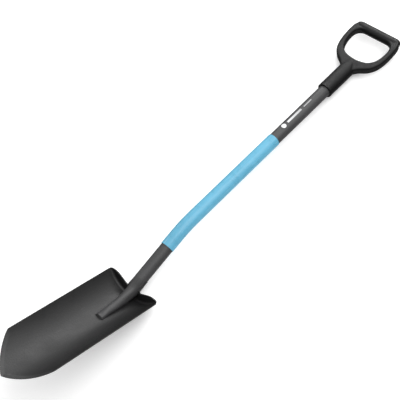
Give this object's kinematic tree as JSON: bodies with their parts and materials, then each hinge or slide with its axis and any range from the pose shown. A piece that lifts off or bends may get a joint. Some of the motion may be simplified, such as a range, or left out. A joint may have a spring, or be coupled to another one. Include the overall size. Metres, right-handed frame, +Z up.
{
  "type": "garden spade",
  "caption": "All-steel garden spade with a long pointed dished blade, forward-turned treads, a bent tube shaft with a plastic sleeve, and a moulded D-handle.",
  "frame": {"origin": "centre of the spade's footprint on the floor, with the spade lying on its back", "axes": "+X from the blade's tip towards the handle, +Y across the blade, +Z up, on the side of the digging face"},
  "size_m": [1.229, 0.142, 0.1633],
  "materials": {
    "blade_coat": "satin powder coat, fine texture",
    "tube_coat": "satin powder coat, fine texture",
    "weld_coat": "satin powder coat over rippled weld",
    "sleeve_plastic": "soft satin, faint mottling",
    "print_ink": "flat white ink",
    "handle_plastic": "satin moulded plastic, fine grain",
    "screw_steel": "zinc plated, dull"
  },
  "bodies": {
    "root": {"blade": "blade_coat", "shaft_tube": "tube_coat", "tongue_weld": "weld_coat", "neck_weld": "weld_coat", "shaft_sleeve": "sleeve_plastic", "printed_mark": "print_ink", "handle": "handle_plastic", "handle_screw": "screw_steel"}
  },
  "joints": []
}
